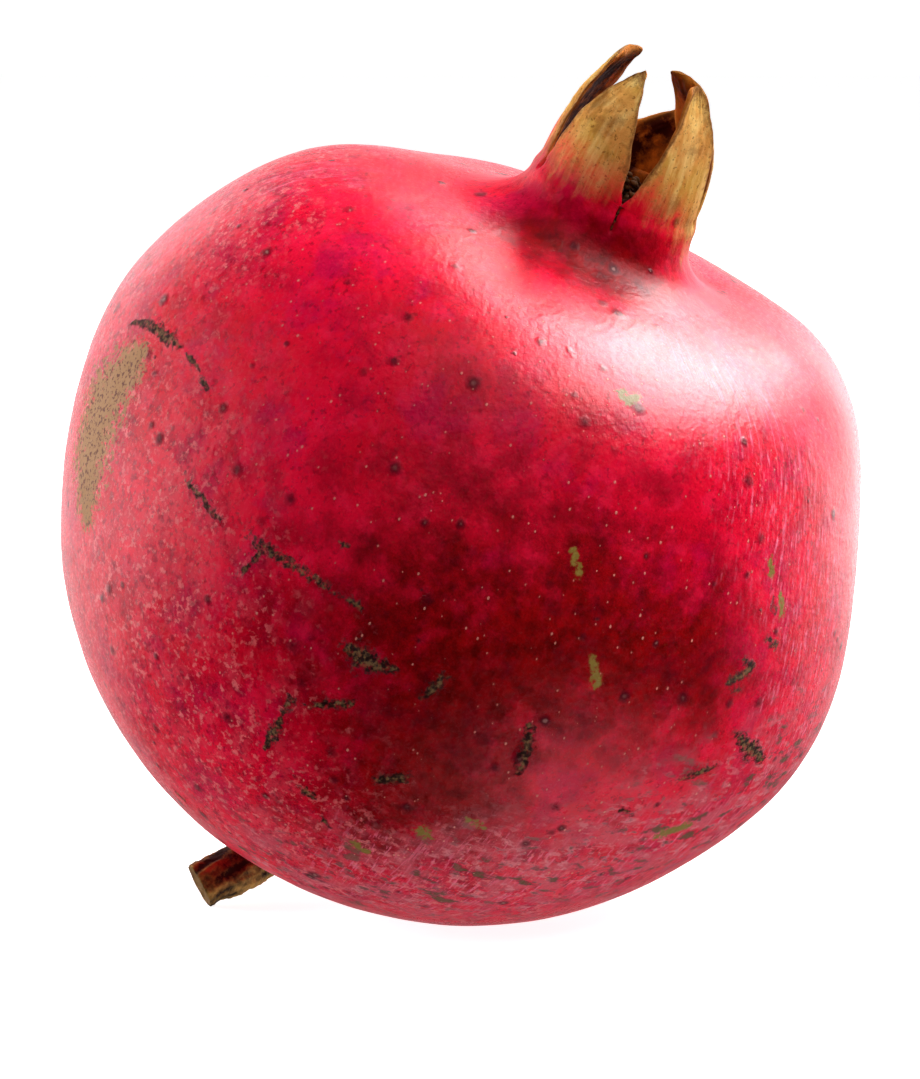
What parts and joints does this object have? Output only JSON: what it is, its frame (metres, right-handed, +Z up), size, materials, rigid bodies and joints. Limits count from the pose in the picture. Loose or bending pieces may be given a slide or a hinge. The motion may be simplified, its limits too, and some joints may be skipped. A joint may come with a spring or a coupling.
{
  "type": "pomegranate",
  "caption": "Ripe whole pomegranate lying on a small flat spot, with a red rind, a tubular crown of dry pointed sepals and a short bent woody stem.",
  "frame": {"origin": "under the fruit's centre of mass, on the flat spot that the fruit rests on", "axes": "+Z up out of the table; +X to the fruit's right and -Y to its front, so the crown leans up, right and a little forward"},
  "size_m": [0.0959, 0.0954, 0.1054],
  "materials": {
    "rind": "satin",
    "sepal": "matte",
    "stamen": "matte",
    "stem": "matte"
  },
  "bodies": {
    "root": {"fruit_body": "rind", "sepal_front_left": "sepal", "sepal_front_right": "sepal", "sepal_right": "sepal", "sepal_back": "sepal", "sepal_left": "sepal", "stamens": "stamen", "stem": "stem"}
  },
  "joints": []
}
